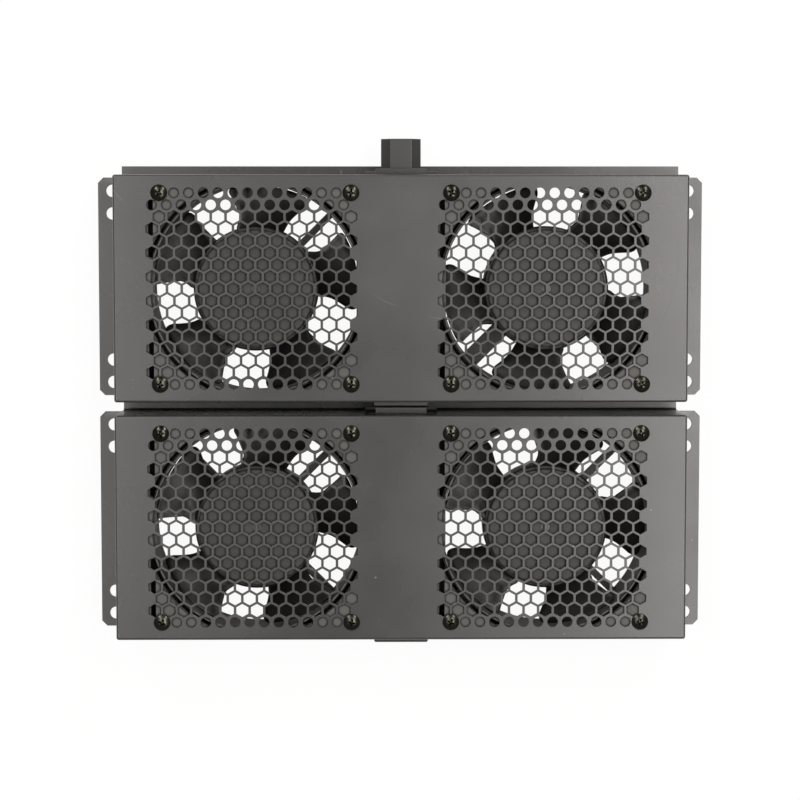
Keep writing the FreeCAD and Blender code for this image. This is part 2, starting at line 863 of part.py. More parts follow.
def make_outlet(module):
    """Power outlet on the rear wall: wings, a collar, and a plug-shaped nose with contacts."""
    body = new_body(module + "_outlet")
    # lifts are negative here, because the rear wall faces away from the XZ plane's normal
    collar = new_sketch(body, "XZ_Plane", lift=-half_length)
    draw_panel(collar, size("collar_width") / 2, size("bezel_height") / 2)
    pad(body, collar, size("collar_reach"), down=True)
    wings = new_sketch(body, "XZ_Plane", lift=-half_length)
    draw_panel(wings, size("wing_width") / 2, size("wing_height") / 2)
    pad(body, wings, size("wing_reach"), down=True)
    nose = new_sketch(body, "XZ_Plane", lift=-half_length)
    half_wide = size("plug_width") / 2
    half_tall = size("plug_height") / 2
    draw_outline(nose, plug_outline(half_wide, half_tall, size("plug_chamfer")))
    pad(body, nose, plug_tip, down=True)
    inner = new_sketch(body, "XZ_Plane", lift=-half_length)
    draw_panel(inner, outlet_half_width, outlet_half_height)
    pad(body, inner, size("outlet_inside"))
    slots = new_sketch(body, "XZ_Plane", lift=-half_length - plug_tip)
    around = size("contact_play") + size("contact_wall")
    tail_holes = new_sketch(body, "XZ_Plane", lift=-half_length - size("collar_reach"))
    for x, z in pin_spots:
        draw_pin(slots, x, z, around)
        draw_pin(tail_holes, x, z)
    pocket(body, slots, size("plug_length"), up=True)
    pocket(body, tail_holes, up=True)
    keep(body, module + "_outlet_housing", y=module_y[module])

    contacts = []
    root = half_length + size("collar_reach")
    for number, (x, z) in enumerate(pin_spots, start=1):
        contact = new_body(f"{module}_contact_{number}")
        sleeve = new_sketch(contact, "XZ_Plane", lift=-root)
        draw_pin(sleeve, x, z, around)
        pad(contact, sleeve, size("contact_length"), down=True)
        mouth = new_sketch(contact, "XZ_Plane", lift=-root - size("contact_length"))
        draw_pin(mouth, x, z, size("contact_play"))
        pocket(contact, mouth, size("contact_length") - size("contact_wall"), up=True)
        tail = new_sketch(contact, "XZ_Plane", lift=-root)
        draw_pin(tail, x, z)
        tail_length = size("collar_reach") + size("outlet_inside") + size("pin_tail")
        pad(contact, tail, tail_length)
        contacts.append(contact)
    keep_group(contacts, module, "outlet_contacts")


for module in module_y:
    make_tray(module)
    make_cover(module)
    make_screws(module)
    make_nuts(module)
    make_terminals(module)
    make_inlet(module)
    make_outlet(module)
for fan in gap_angles:
    make_fan(fan)

doc.recompute()
failed = [o.Name for o in doc.Objects if {"Invalid", "Error"} & set(o.State)]
unsound = [piece.Label for piece in kept if piece.Shape.isNull() or not piece.Shape.isValid()]
if failed or unsound:
    raise SystemExit(f"failed features {failed}, unsound sub-parts {unsound}")

os.makedirs("parts", exist_ok=True)
for piece in kept:
    piece.Shape.exportStep(f"parts/{piece.Label}.step")
    box = piece.Shape.BoundBox
    print(
        f"{piece.Label:28s} solids {len(piece.Shape.Solids):2d} volume {piece.Shape.Volume:10.1f}"
        f" x {box.XMin:.2f}..{box.XMax:.2f} y {box.YMin:.2f}..{box.YMax:.2f}"
        f" z {box.ZMin:.2f}..{box.ZMax:.2f}"
    )
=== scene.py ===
import bmesh
import bpy
import math
from mathutils import Matrix, Vector


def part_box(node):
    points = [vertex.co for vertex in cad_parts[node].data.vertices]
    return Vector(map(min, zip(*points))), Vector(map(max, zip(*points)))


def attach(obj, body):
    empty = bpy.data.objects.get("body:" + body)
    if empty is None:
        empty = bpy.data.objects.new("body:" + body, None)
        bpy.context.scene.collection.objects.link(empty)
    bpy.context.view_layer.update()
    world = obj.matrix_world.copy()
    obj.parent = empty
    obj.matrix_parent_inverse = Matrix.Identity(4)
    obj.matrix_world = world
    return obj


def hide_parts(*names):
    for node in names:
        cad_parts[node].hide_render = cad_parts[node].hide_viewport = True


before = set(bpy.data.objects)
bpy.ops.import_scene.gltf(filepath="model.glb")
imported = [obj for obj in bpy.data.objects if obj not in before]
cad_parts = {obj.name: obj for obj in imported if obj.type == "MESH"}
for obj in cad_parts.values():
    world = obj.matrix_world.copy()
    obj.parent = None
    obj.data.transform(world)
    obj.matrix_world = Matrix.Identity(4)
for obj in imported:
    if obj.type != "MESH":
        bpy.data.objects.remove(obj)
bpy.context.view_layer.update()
print("frame loaded:", len(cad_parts), "nodes")

mm = 0.001
weld = 0.001 * mm  # points closer than this are one point
flatTurn = math.radians(1)  # faces that turn by less are one face
moduleNames = ("rear", "front")
fanSides = {"left": -1, "right": 1}

tray = {
    "halfWidth": 158 * mm,
    "halfLength": 62.5 * mm,
    "depth": 43 * mm,
    "sheet": 1.2 * mm,
    "bend": 1.4 * mm,
    "bendSteps": 6,
    "fanSpacing": 160 * mm,
    "screwPitch": 105 * mm,
    "edgeRound": 0.12 * mm,
}
trayMiddle = {m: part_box(m + "_tray")[0].y + tray["halfLength"] for m in moduleNames}
fan = {
    "base": 3.8 * mm,
    "gapAngles": {"rear_left": 48.7, "rear_right": 11.8, "front_left": 46.5, "front_right": 41.8},
}
fanNames = [f"{m}_{s}" for m in moduleNames for s in fanSides]


def fanPlace(name):
    module, side = name.split("_")
    return Vector((fanSides[side] * tray["fanSpacing"] / 2, trayMiddle[module], fan["base"]))


# ---- making meshes ----

def meshFrom(bm, name, smoothAngle=32):
    mesh = bpy.data.meshes.new(name)
    bm.to_mesh(mesh)
    bm.free()
    mesh.shade_smooth()
    mesh.set_sharp_from_angle(angle=math.radians(smoothAngle))
    piece = bpy.data.objects.new(name, mesh)
    bpy.context.scene.collection.objects.link(piece)
    return piece


def applied(piece):
    bpy.context.view_layer.update()
    seen = piece.evaluated_get(bpy.context.evaluated_depsgraph_get())
    mesh = bpy.data.meshes.new_from_object(seen)
    mesh.name = piece.name
    piece.modifiers.clear()
    piece.data = mesh
    return mesh


def settle(piece, smoothAngle=32, flatFaces=False):  # leaves a plain mesh with no modifiers
    mesh = applied(piece)
    mesh.shade_smooth()
    mesh.set_sharp_from_angle(angle=math.radians(smoothAngle))
    if flatFaces:  # broad faces keep their own normals, and the eased edges do the turning
        level = piece.modifiers.new("flatFaces", "WEIGHTED_NORMAL")
        level.keep_sharp = True
        applied(piece)
    return piece


def thicken(piece, thickness, offset=-1):
    solid = piece.modifiers.new("thickness", "SOLIDIFY")
    solid.thickness = thickness
    solid.offset = offset


def easeEdges(piece, width, steps=2, angle=40, clamp=True):
    ease = piece.modifiers.new("easedEdges", "BEVEL")
    ease.width = width
    ease.segments = steps
    ease.limit_method = "ANGLE"
    ease.angle_limit = math.radians(angle)
    ease.use_clamp_overlap = clamp


def lathe(bm, profile, centre, steps=96):  # turns a closed profile of (radius, height) round Z
    rings = []
    for radius, height in profile:
        rings.append([
            bm.verts.new(centre + Vector((
                radius * math.cos(2 * math.pi * s / steps),
                radius * math.sin(2 * math.pi * s / steps),
                height,
            )))
            for s in range(steps)
        ])
    for ring, nextRing in zip(rings, rings[1:] + rings[:1]):
        for s in range(steps):
            t = (s + 1) % steps
            bm.faces.new((ring[s], ring[t], nextRing[t], nextRing[s]))


def arc(centre, radius, start, end, steps):  # points of (across, up) on a round corner
    return [
        (
            centre[0] + radius * math.cos(math.radians(start + (end - start) * s / steps)),
            centre[1] + radius * math.sin(math.radians(start + (end - start) * s / steps)),
        )
        for s in range(steps + 1)
    ]


def softened(node, width, change=None, centre=None):
    # a copy of a CAD node, changed where that is asked for, with its edges eased
    bm = bmesh.new()
    bm.from_mesh(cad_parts[node].data)
    bmesh.ops.remove_doubles(bm, verts=bm.verts, dist=weld)
    bmesh.ops.dissolve_limit(
        bm, angle_limit=flatTurn, verts=bm.verts, edges=bm.edges, delimit={"NORMAL"}
    )
    piece = meshFrom(bm, node + "_shell")
    if change:
        change(piece, centre)
    easeEdges(piece, width)
    return settle(piece, flatFaces=True)


def placeOn(piece, body, node, material):
    piece.data.materials.clear()
    piece.data.materials.append(material)
    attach(piece, body)
    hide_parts(node)


# ---- node helpers ----

def addNode(tree, kind, values=None, **settings):
    node = tree.nodes.new(kind)
    for key, setting in settings.items():
        setattr(node, key, setting)
    for key, value in (values or {}).items():
        socket = node.inputs[key]
        if isinstance(value, bpy.types.NodeSocket):
            tree.links.new(value, socket)
        else:
            socket.default_value = value
    return node


def calc(tree, operation, *numbers):
    node = addNode(tree, "ShaderNodeMath", dict(enumerate(numbers)), operation=operation)
    return node.outputs[0]


def numberInputs(values):  # inputs for a tree that start at a dictionary's numbers
    kinds = {int: "NodeSocketInt", float: "NodeSocketFloat"}
    return [(label, kinds[type(value)], value) for label, value in values.items()]


def newTree(name, kind, inputs, outputs):
    tree = bpy.data.node_groups.new(name, kind)
    for label, socketType, value in inputs:
        socket = tree.interface.new_socket(label, in_out="INPUT", socket_type=socketType)
        if value is not None:
            socket.default_value = value
    for label, socketType in outputs:
        tree.interface.new_socket(label, in_out="OUTPUT", socket_type=socketType)
    given = tree.nodes.new("NodeGroupInput").outputs
    out = tree.nodes.new("NodeGroupOutput").inputs
    return tree, given, out


def fromGeometryNodes(name, tree, values):
    holder = bpy.data.objects.new(name, bpy.data.meshes.new(name))
    bpy.context.scene.collection.objects.link(holder)
    modifier = holder.modifiers.new("build", "NODES")
    modifier.node_group = tree
    for item in tree.interface.items_tree:
        if item.in_out == "INPUT" and item.name in values:
            modifier[item.identifier] = values[item.name]
    return settle(holder)


# ---- finishes ----

def tint(red, green, blue):
    def straight(level):
        level /= 255
        return level / 12.92 if level <= 0.04045 else ((level + 0.055) / 1.055) ** 2.4
    return (straight(red), straight(green), straight(blue), 1)


def grainGroup():  # cloudy shade and fine pits, for cast, moulded and painted surfaces
    tree, given, out = newTree(
        "fineGrain", "ShaderNodeTree",
        [
            ("Vector", "NodeSocketVector", None),
            ("Colour", "NodeSocketColor", (0.5, 0.5, 0.5, 1)),
            ("Variation", "NodeSocketFloat", 0.1),
            ("Scale", "NodeSocketFloat", 900),
            ("Cloud Scale", "NodeSocketFloat", 25),
        ],
        [
            ("Colour", "NodeSocketColor"),
            ("Height", "NodeSocketFloat"),
            ("Cloud", "NodeSocketFloat"),
        ],
    )
    fineShare, cloudShare = 0.6, 1.4
    fine = addNode(tree, "ShaderNodeTexNoise", {
        "Vector": given["Vector"], "Scale": given["Scale"], "Detail": 3, "Roughness": 0.6,
    }).outputs[0]
    cloud = addNode(tree, "ShaderNodeTexNoise", {
        "Vector": given["Vector"], "Scale": given["Cloud Scale"], "Detail": 4, "Roughness": 0.55,
    }).outputs[0]
    both = calc(
        tree, "ADD",
        calc(tree, "MULTIPLY", fine, fineShare), calc(tree, "MULTIPLY", cloud, cloudShare),
    )
    swing = calc(tree, "MULTIPLY", calc(tree, "SUBTRACT", both, 1.0), given["Variation"])
    level = calc(tree, "ADD", calc(tree, "MULTIPLY", swing, 2.0), 1.0)
    shaded = addNode(tree, "ShaderNodeVectorMath", {
        0: given["Colour"], "Scale": level,
    }, operation="SCALE")
    tree.links.new(shaded.outputs[0], out["Colour"])
    tree.links.new(fine, out["Height"])
    tree.links.new(cloud, out["Cloud"])
    return tree


def scuffGroup():  # hairline scratches: thin contour lines of a slow noise, broken up by another
    tree, given, out = newTree(
        "hairScratches", "ShaderNodeTree",
        [
            ("Vector", "NodeSocketVector", None),
            ("Scale", "NodeSocketFloat", 14),
            ("Width", "NodeSocketFloat", 0.004),
            ("Share", "NodeSocketFloat", 0.6),
        ],
        [("Mask", "NodeSocketFloat")],
    )
    patchScale, patchEdge = 31, 0.08
    lines = addNode(tree, "ShaderNodeTexNoise", {
        "Vector": given["Vector"], "Scale": given["Scale"], "Detail": 1, "Roughness": 0.4,
    }).outputs[0]
    away = calc(tree, "ABSOLUTE", calc(tree, "SUBTRACT", lines, 0.5))
    thin = addNode(tree, "ShaderNodeMapRange", {
        "Value": away, "From Min": 0, "From Max": given["Width"], "To Min": 1, "To Max": 0,
    }).outputs[0]
    patches = addNode(tree, "ShaderNodeTexNoise", {
        "Vector": given["Vector"], "Scale": patchScale, "Detail": 2, "Roughness": 0.5,
    }).outputs[0]
    kept = addNode(tree, "ShaderNodeMapRange", {
        "Value": patches, "From Min": given["Share"],
        "From Max": calc(tree, "ADD", given["Share"], patchEdge), "To Min": 0, "To Max": 1,
    }).outputs[0]
    tree.links.new(calc(tree, "MULTIPLY", thin, kept), out["Mask"])
    return tree


def speckGroup():  # scattered grains of dust
    tree, given, out = newTree(
        "dustSpecks", "ShaderNodeTree",
        [
            ("Vector", "NodeSocketVector", None),
            ("Scale", "NodeSocketFloat", 260),
            ("Size", "NodeSocketFloat", 0.12),
            ("Share", "NodeSocketFloat", 0.1),
        ],
        [("Mask", "NodeSocketFloat")],
    )
    cells = addNode(tree, "ShaderNodeTexVoronoi", {
        "Vector": given["Vector"], "Scale": given["Scale"],
    })
    near = calc(tree, "LESS_THAN", cells.outputs["Distance"], given["Size"])
    pick = addNode(tree, "ShaderNodeSeparateColor", {0: cells.outputs["Color"]}).outputs[0]
    chosen = calc(tree, "LESS_THAN", pick, given["Share"])
    tree.links.new(calc(tree, "MULTIPLY", near, chosen), out["Mask"])
    return tree


def ringGroup():  # turning marks round an axis through the vector's origin
    tree, given, out = newTree(
        "turningRings", "ShaderNodeTree",
        [("Vector", "NodeSocketVector", None), ("Scale", "NodeSocketFloat", 2500)],
        [("Height", "NodeSocketFloat"), ("Radius", "NodeSocketFloat")],
    )
    parts = addNode(tree, "ShaderNodeSeparateXYZ", {0: given["Vector"]}).outputs
    flat = addNode(tree, "ShaderNodeCombineXYZ", {0: parts[0], 1: parts[1]}).outputs[0]
    radius = addNode(tree, "ShaderNodeVectorMath", {0: flat}, operation="LENGTH").outputs["Value"]
    wobble = addNode(tree, "ShaderNodeTexNoise", {
        "W": calc(tree, "MULTIPLY", radius, given["Scale"]), "Scale": 1, "Detail": 2,
    }, noise_dimensions="1D").outputs[0]
    tree.links.new(wobble, out["Height"])
    tree.links.new(radius, out["Radius"])
    return tree


def cornerShadeGroup():  # painted shade: how far a point is open to the light, dark where another sheet is close
    tree, given, out = newTree(
        "closedCorners", "ShaderNodeTree",
        [("Distance", "NodeSocketFloat", 0.0016), ("Depth", "NodeSocketFloat", 1.5)],
        [("Open", "NodeSocketFloat")],
    )
    reach = addNode(tree, "ShaderNodeAmbientOcclusion", {"Distance": given["Distance"]}, samples=8)
    tree.links.new(calc(tree, "POWER", reach.outputs["AO"], given["Depth"]), out["Open"])
    return tree


groups = {
    "corner": cornerShadeGroup(),
    "grain": grainGroup(),
    "scratch": scuffGroup(),
    "speck": speckGroup(),
    "rings": ringGroup(),
}


def startMaterial(name, roughness, metallic=0.0, **sockets):
    material = bpy.data.materials.new(name)
    material.use_nodes = True
    tree = material.node_tree
    shader = tree.nodes["Principled BSDF"]
    shader.inputs["Roughness"].default_value = roughness
    shader.inputs["Metallic"].default_value = metallic
    for key, value in sockets.items():
        shader.inputs[key.replace("_", " ")].default_value = value
    place = addNode(tree, "ShaderNodeTexCoord").outputs["Object"]
    return material, tree, shader, place


def useGroup(tree, key, values):
    return addNode(tree, "ShaderNodeGroup", values, node_tree=groups[key]).outputs


def mixColour(tree, factor, first, second):  # sockets 6, 7 and output 2 are the colour ones
    node = addNode(tree, "ShaderNodeMix", {0: factor, 6: first, 7: second}, data_type="RGBA")
    return node.outputs[2]


def addBump(tree, shader, height, distance):
    bump = addNode(tree, "ShaderNodeBump", {
        "Height": height, "Distance": distance, "Strength": 1.0,
    })
    tree.links.new(bump.outputs[0], shader.inputs["Normal"])


# near-black colour and falloff of the painted shade near other sheets
shade = {"colour": (0.003, 0.003, 0.003, 1), "depth": 1.8}


def paintCloseShade(tree, colour, distance, depth=shade["depth"]):
    # paints shade into a colour where another sheet is close
    opened = useGroup(tree, "corner", {"Distance": distance, "Depth": depth})["Open"]
    return mixColour(tree, opened, shade["colour"], colour)


def cloudRoughness(tree, shader, cloud, low, high):
    level = addNode(tree, "ShaderNodeMapRange", {
        "Value": cloud, "From Min": 0.3, "From Max": 0.7, "To Min": low, "To Max": high,
    }).outputs[0]
    tree.links.new(level, shader.inputs["Roughness"])


def plainFinish(name, colour, roughness, metallic=0.0, variation=0.12, scale=900,
                pit=0.02 * mm, spread=0.08, shadeDistance=0, **sockets):
    material, tree, shader, place = startMaterial(name, roughness, metallic, **sockets)
    grain = useGroup(tree, "grain", {
        "Vector": place, "Colour": colour, "Variation": variation, "Scale": scale,
    })
    shown = grain["Colour"]
    # painted shade where another sheet is close
    if shadeDistance:
        shown = paintCloseShade(tree, shown, shadeDistance)
    tree.links.new(shown, shader.inputs["Base Color"])
    cloudRoughness(tree, shader, grain["Cloud"], roughness - spread, roughness + spread)
    addBump(tree, shader, grain["Height"], pit)
    return material


coat = {
    "colour": tint(56, 55, 54),
    "dust": tint(150, 146, 138),
    "mark": tint(28, 27, 26),
    "variation": 0.1,
    "cloudScale": 14,
    "roughness": (0.23, 0.28, 0.34),  # least, plain, most
    "sheen": 0.72,
    "scratch": {"Scale": 9, "Width": 0.0016},
    "scratchShow": 0.2,
    "speck": {"Scale": 210, "Size": 0.1, "Share": 0.02},
    "speckShow": 0.6,
    # reach and depth of the painted shade on hemmed-in walls
    "shadeDistance": 14 * mm,
    "shadeDepth": 1.6,
    "peelScale": 1100,
    "peel": 0.02 * mm,
}


def coatMaterial(name, longScratch):
    glossiest, plain, dullest = coat["roughness"]
    material, tree, shader, place = startMaterial(name, plain, Specular_IOR_Level=coat["sheen"])
    grain = useGroup(tree, "grain", {
        "Vector": place, "Colour": coat["colour"], "Variation": coat["variation"],
        "Scale": coat["peelScale"], "Cloud Scale": coat["cloudScale"],
    })
    colour = grain["Colour"]
    for effect in ("scratch", "speck"):
        mask = useGroup(tree, effect, {"Vector": place, **coat[effect]})["Mask"]
        shown = calc(tree, "MULTIPLY", mask, coat[effect + "Show"])
        colour = mixColour(tree, shown, colour, coat["dust"])
    if longScratch:
        colour = mixColour(tree, scrapeMask(tree, place), colour, coat["mark"])
    normal = addNode(tree, "ShaderNodeNewGeometry").outputs["Normal"]
    upward = addNode(tree, "ShaderNodeSeparateXYZ", {0: normal}).outputs[2]
    shaded = paintCloseShade(tree, colour, coat["shadeDistance"], coat["shadeDepth"])
    # painted shade where another sheet is close; only walls take it where they are hemmed in
    colour = mixColour(tree, calc(tree, "ABSOLUTE", upward), shaded, colour)
    tree.links.new(colour, shader.inputs["Base Color"])
    cloudRoughness(tree, shader, grain["Cloud"], glossiest, dullest)
    addBump(tree, shader, grain["Height"], coat["peel"])
    return material


scrape = {  # one long curved scrape on the rear module's face
    "crestX": 152 * mm,
    "crestY": 74.5 * mm,
    "curve": 7.1,
    "low": 30 * mm,
    "high": 84 * mm,
    "core": 0.1 * mm,
    "width": 0.45 * mm,
    "strength": 0.85,
    "ragged": 0.3 * mm,
    "raggedScale": 260,
}


def scrapeMask(tree, place):
    x, y = addNode(tree, "ShaderNodeSeparateXYZ", {0: place}).outputs[:2]
    along = calc(tree, "SUBTRACT", y, scrape["crestY"])
    bend = calc(tree, "MULTIPLY", calc(tree, "MULTIPLY", along, along), scrape["curve"])
    line = calc(tree, "SUBTRACT", scrape["crestX"], bend)
    away = calc(tree, "ABSOLUTE", calc(tree, "SUBTRACT", x, line))
    ragged = addNode(tree, "ShaderNodeTexNoise", {
        "Vector": place, "Scale": scrape["raggedScale"],
    }).outputs[0]
    away = calc(tree, "ADD", away, calc(tree, "MULTIPLY", ragged, scrape["ragged"]))
    thin = addNode(tree, "ShaderNodeMapRange", {
        "Value": away, "From Min": scrape["core"], "From Max": scrape["width"],
        "To Min": scrape["strength"], "To Max": 0,
    }).outputs[0]
    inside = calc(
        tree, "MULTIPLY",
        calc(tree, "GREATER_THAN", y, scrape["low"]),
        calc(tree, "LESS_THAN", y, scrape["high"]),
    )
    return calc(tree, "MULTIPLY", thin, inside)


hub = {
    "colour": tint(60, 59, 57),
    "roughness": 0.55,
    "sheen": 0.25,
    "ringScale": 1800,
    "ringShare": 0.5,
    "grain": {"Variation": 0.16, "Scale": 1300, "Cloud Scale": 60},
    # reach of the painted shade under the face sheet
    "shadeDistance": 2.2 * mm,
    "relief": 0.03 * mm,
}


def hubMaterial(name, centre):
    material, tree, shader, place = startMaterial(
        name, hub["roughness"], Specular_IOR_Level=hub["sheen"]
    )
    moved = addNode(tree, "ShaderNodeMapping", {"Vector": place, "Location": -centre}).outputs[0]
    rings = useGroup(tree, "rings", {"Vector": moved, "Scale": hub["ringScale"]})
    grain = useGroup(tree, "grain", {"Vector": place, "Colour": hub["colour"], **hub["grain"]})
    # painted shade where the face sheet is close above the hub
    colour = paintCloseShade(tree, grain["Colour"], hub["shadeDistance"])
    tree.links.new(colour, shader.inputs["Base Color"])
    turned = calc(tree, "MULTIPLY", rings["Height"], hub["ringShare"])
    addBump(tree, shader, calc(tree, "ADD", grain["Height"], turned), hub["relief"])
    return material


finishes = {
    # the cast frame gets painted shade where the face sheet lies close over it
    "frame": plainFinish(
        "castFrame", tint(84, 82, 80), 0.6, variation=0.2, scale=1500, pit=0.05 * mm,
        shadeDistance=1.4 * mm, Specular_IOR_Level=0.2
    ),
    "blade": plainFinish("bladePlastic", tint(19, 19, 19), 0.42, variation=0.1, pit=0.01 * mm),
    "screw": plainFinish(
        "blackNickelScrew", tint(66, 65, 58), 0.24, 1.0, variation=0.3, scale=700, pit=0.01 * mm
    ),
    "zinc": plainFinish("zincSteel", tint(176, 178, 180), 0.36, 1.0, scale=600, pit=0.01 * mm),
    "nylon": plainFinish("blackNylon", tint(34, 34, 35), 0.45, pit=0.01 * mm),
    "plug": plainFinish(
        "connectorPlastic", tint(20, 20, 19), 0.36, variation=0.14, spread=0.03,
        Specular_IOR_Level=0.75
    ),
    "tinned": plainFinish("tinnedBrass", tint(190, 186, 172), 0.32, 1.0, pit=0.01 * mm),
    "nickel": plainFinish("nickelBrass", tint(186, 180, 160), 0.25, 1.0, pit=0.01 * mm),
    "contact": plainFinish("contactBrass", tint(196, 158, 92), 0.3, 1.0, pit=0.01 * mm),
    "bearing": plainFinish("bearingSteel", tint(186, 186, 186), 0.22, 1.0, pit=0.005 * mm),
    "lamination": plainFinish("laminationSteel", tint(120, 120, 122), 0.45, 0.9, scale=2500),
    "copper": plainFinish(
        "copperWinding", tint(168, 88, 44), 0.35, 0.9, variation=0.3, scale=1800, pit=0.1 * mm
    ),
    "shaft": plainFinish("groundSteel", tint(84, 82, 79), 0.4, 0.8, pit=0.003 * mm),
    "spring": plainFinish("springSteel", tint(96, 94, 92), 0.3, 1.0, pit=0.005 * mm),
    "iron": plainFinish("rotorIron", tint(84, 82, 80), 0.5, 0.7, scale=1200),
}
trayFinishes = {m: coatMaterial(m + "PowderCoat", m == "rear") for m in moduleNames}
print("materials made:", len(bpy.data.materials))

# ---- folded tray ----

pierced = {
    "Columns": 14,
    "Rows": 17,
    "Column Pitch": tray["screwPitch"] / 13,
    "Row Pitch": tray["screwPitch"] / 16,
    "Hex Radius": 3.86 * mm,
    "Hex Squash": 0.962,
    "Round Radius": 2.9 * mm,
    "Screw Radius": 2.2 * mm,
    "Fan Spacing": tray["fanSpacing"],
    "Face Width": 2 * (tray["halfWidth"] - tray["bend"]),
    "Face Length": 2 * (tray["halfLength"] - tray["bend"]),
}


def piercedFaceTree():
    tree, given, out = newTree(
        "piercedFace", "GeometryNodeTree",
        numberInputs(pierced) + [("Material", "NodeSocketMaterial", None)],
        [("Geometry", "NodeSocketGeometry")],
    )
    roundSteps = 20
    outermost = 0.49  # the share of the whole reach past which only the last holes lie
    columnSteps = calc(tree, "SUBTRACT", given["Columns"], 1)
    wide = calc(tree, "MULTIPLY", columnSteps, given["Column Pitch"])
    tall = calc(tree, "MULTIPLY", calc(tree, "SUBTRACT", given["Rows"], 1), given["Row Pitch"])
    spots = addNode(tree, "GeometryNodeMeshGrid", {
        "Size X": wide, "Size Y": tall,
        "Vertices X": given["Columns"], "Vertices Y": given["Rows"],
    }).outputs[0]
    x, y = addNode(tree, "ShaderNodeSeparateXYZ", {
        0: addNode(tree, "GeometryNodeInputPosition").outputs[0],
    }).outputs[:2]
    fromTop = calc(tree, "SUBTRACT", calc(tree, "DIVIDE", tall, 2.0), y)
    row = calc(tree, "ROUND", calc(tree, "DIVIDE", fromTop, given["Row Pitch"]))
    step = calc(tree, "MULTIPLY", calc(tree, "MODULO", row, 2.0), given["Column Pitch"])
    offset = addNode(tree, "ShaderNodeCombineXYZ", {0: calc(tree, "MULTIPLY", step, -0.5)})
    spots = addNode(tree, "GeometryNodeSetPosition", {
        "Geometry": spots, "Offset": offset.outputs[0],
    }).outputs[0]
    # the rows at each end are round holes, and each corner is a screw's hole
    lastHex = calc(tree, "SUBTRACT", given["Rows"], 1.5)
    hexRow = calc(
        tree, "MULTIPLY",
        calc(tree, "GREATER_THAN", row, 1.5), calc(tree, "LESS_THAN", row, lastHex),
    )
    atSide, atEnd = (
        calc(tree, "GREATER_THAN",
             calc(tree, "ABSOLUTE", along), calc(tree, "MULTIPLY", reach, outermost))
        for along, reach in ((x, wide), (y, tall))
    )
    corner = calc(tree, "MULTIPLY", atSide, atEnd)
    roundRow = calc(tree, "SUBTRACT", calc(tree, "SUBTRACT", 1.0, hexRow), corner)
    holes = addNode(tree, "GeometryNodeJoinGeometry")
    for sides, radius, chosen in (
        (6, given["Hex Radius"], hexRow),
        (roundSteps, given["Round Radius"], roundRow),
        (roundSteps, given["Screw Radius"], corner),
    ):
        outline = addNode(tree, "GeometryNodeCurvePrimitiveCircle", {
            "Resolution": sides, "Radius": radius,
        }).outputs[0]
        if sides == 6:
            turned = addNode(tree, "GeometryNodeTransform", {
                "Geometry": outline, "Rotation": (0, 0, math.radians(30)),
            })
            squash = addNode(tree, "ShaderNodeCombineXYZ", {0: 1.0, 1: given["Hex Squash"], 2: 1.0})
            outline = addNode(tree, "GeometryNodeTransform", {
                "Geometry": turned.outputs[0], "Scale": squash.outputs[0],
            }).outputs[0]
        copies = addNode(tree, "GeometryNodeInstanceOnPoints", {
            "Points": spots, "Selection": chosen, "Instance": outline,
        })
        tree.links.new(copies.outputs[0], holes.inputs[0])
    field = addNode(tree, "GeometryNodeRealizeInstances", {0: holes.outputs[0]}).outputs[0]
    whole = addNode(tree, "GeometryNodeJoinGeometry")
    for side in (-0.5, 0.5):
        shift = addNode(tree, "ShaderNodeCombineXYZ", {
            0: calc(tree, "MULTIPLY", given["Fan Spacing"], side),
        })
        moved = addNode(tree, "GeometryNodeTransform", {
            "Geometry": field, "Translation": shift.outputs[0],
        })
        tree.links.new(moved.outputs[0], whole.inputs[0])
    edge = addNode(tree, "GeometryNodeCurvePrimitiveQuadrilateral", {
        "Width": given["Face Width"], "Height": given["Face Length"],
    })
    tree.links.new(edge.outputs[0], whole.inputs[0])
    filled = addNode(tree, "GeometryNodeFillCurve", {0: whole.outputs[0]}, mode="TRIANGLES")
    real = addNode(tree, "GeometryNodeRealizeInstances", {0: filled.outputs[0]})
    coated = addNode(tree, "GeometryNodeSetMaterial", {
        "Geometry": real.outputs[0], "Material": given["Material"],
    })
    tree.links.new(coated.outputs[0], out["Geometry"])
    return tree


def boxRing(bm, inset, height, steps=5):  # one closed loop of the tray's rounded-box walls
    halfX = tray["halfWidth"] - inset
    halfY = tray["halfLength"] - inset
    radius = tray["bend"] - inset
    loop = []
    for quarter, (signX, signY) in enumerate(((1, 1), (-1, 1), (-1, -1), (1, -1))):
        for s in range(steps + 1):
            angle = math.radians(90 * quarter + 90 * s / steps)
            loop.append(bm.verts.new((
                signX * (halfX - radius) + radius * math.cos(angle),
                signY * (halfY - radius) + radius * math.sin(angle),
                height,
            )))
    return loop


def bridge(bm, first, second):
    count = len(first)
    for s in range(count):
        t = (s + 1) % count
        bm.faces.new((first[s], first[t], second[t], second[s]))


def addWalls(bm):
    bend = tray["bend"]
    profile = [
        (bend - bend * math.sin(math.radians(90 * s / tray["bendSteps"])),
         tray["depth"] - bend + bend * math.cos(math.radians(90 * s / tray["bendSteps"])))
        for s in range(tray["bendSteps"] + 1)
    ] + [(0, 0)]
    loops = [boxRing(bm, inset, height) for inset, height in profile]
    for first, second in zip(loops, loops[1:]):
        bridge(bm, first, second)
    bmesh.ops.remove_doubles(bm, verts=bm.verts, dist=weld)
    empty = [face for face in bm.faces if face.calc_area() < weld ** 2]
    bmesh.ops.delete(bm, geom=empty, context="FACES")


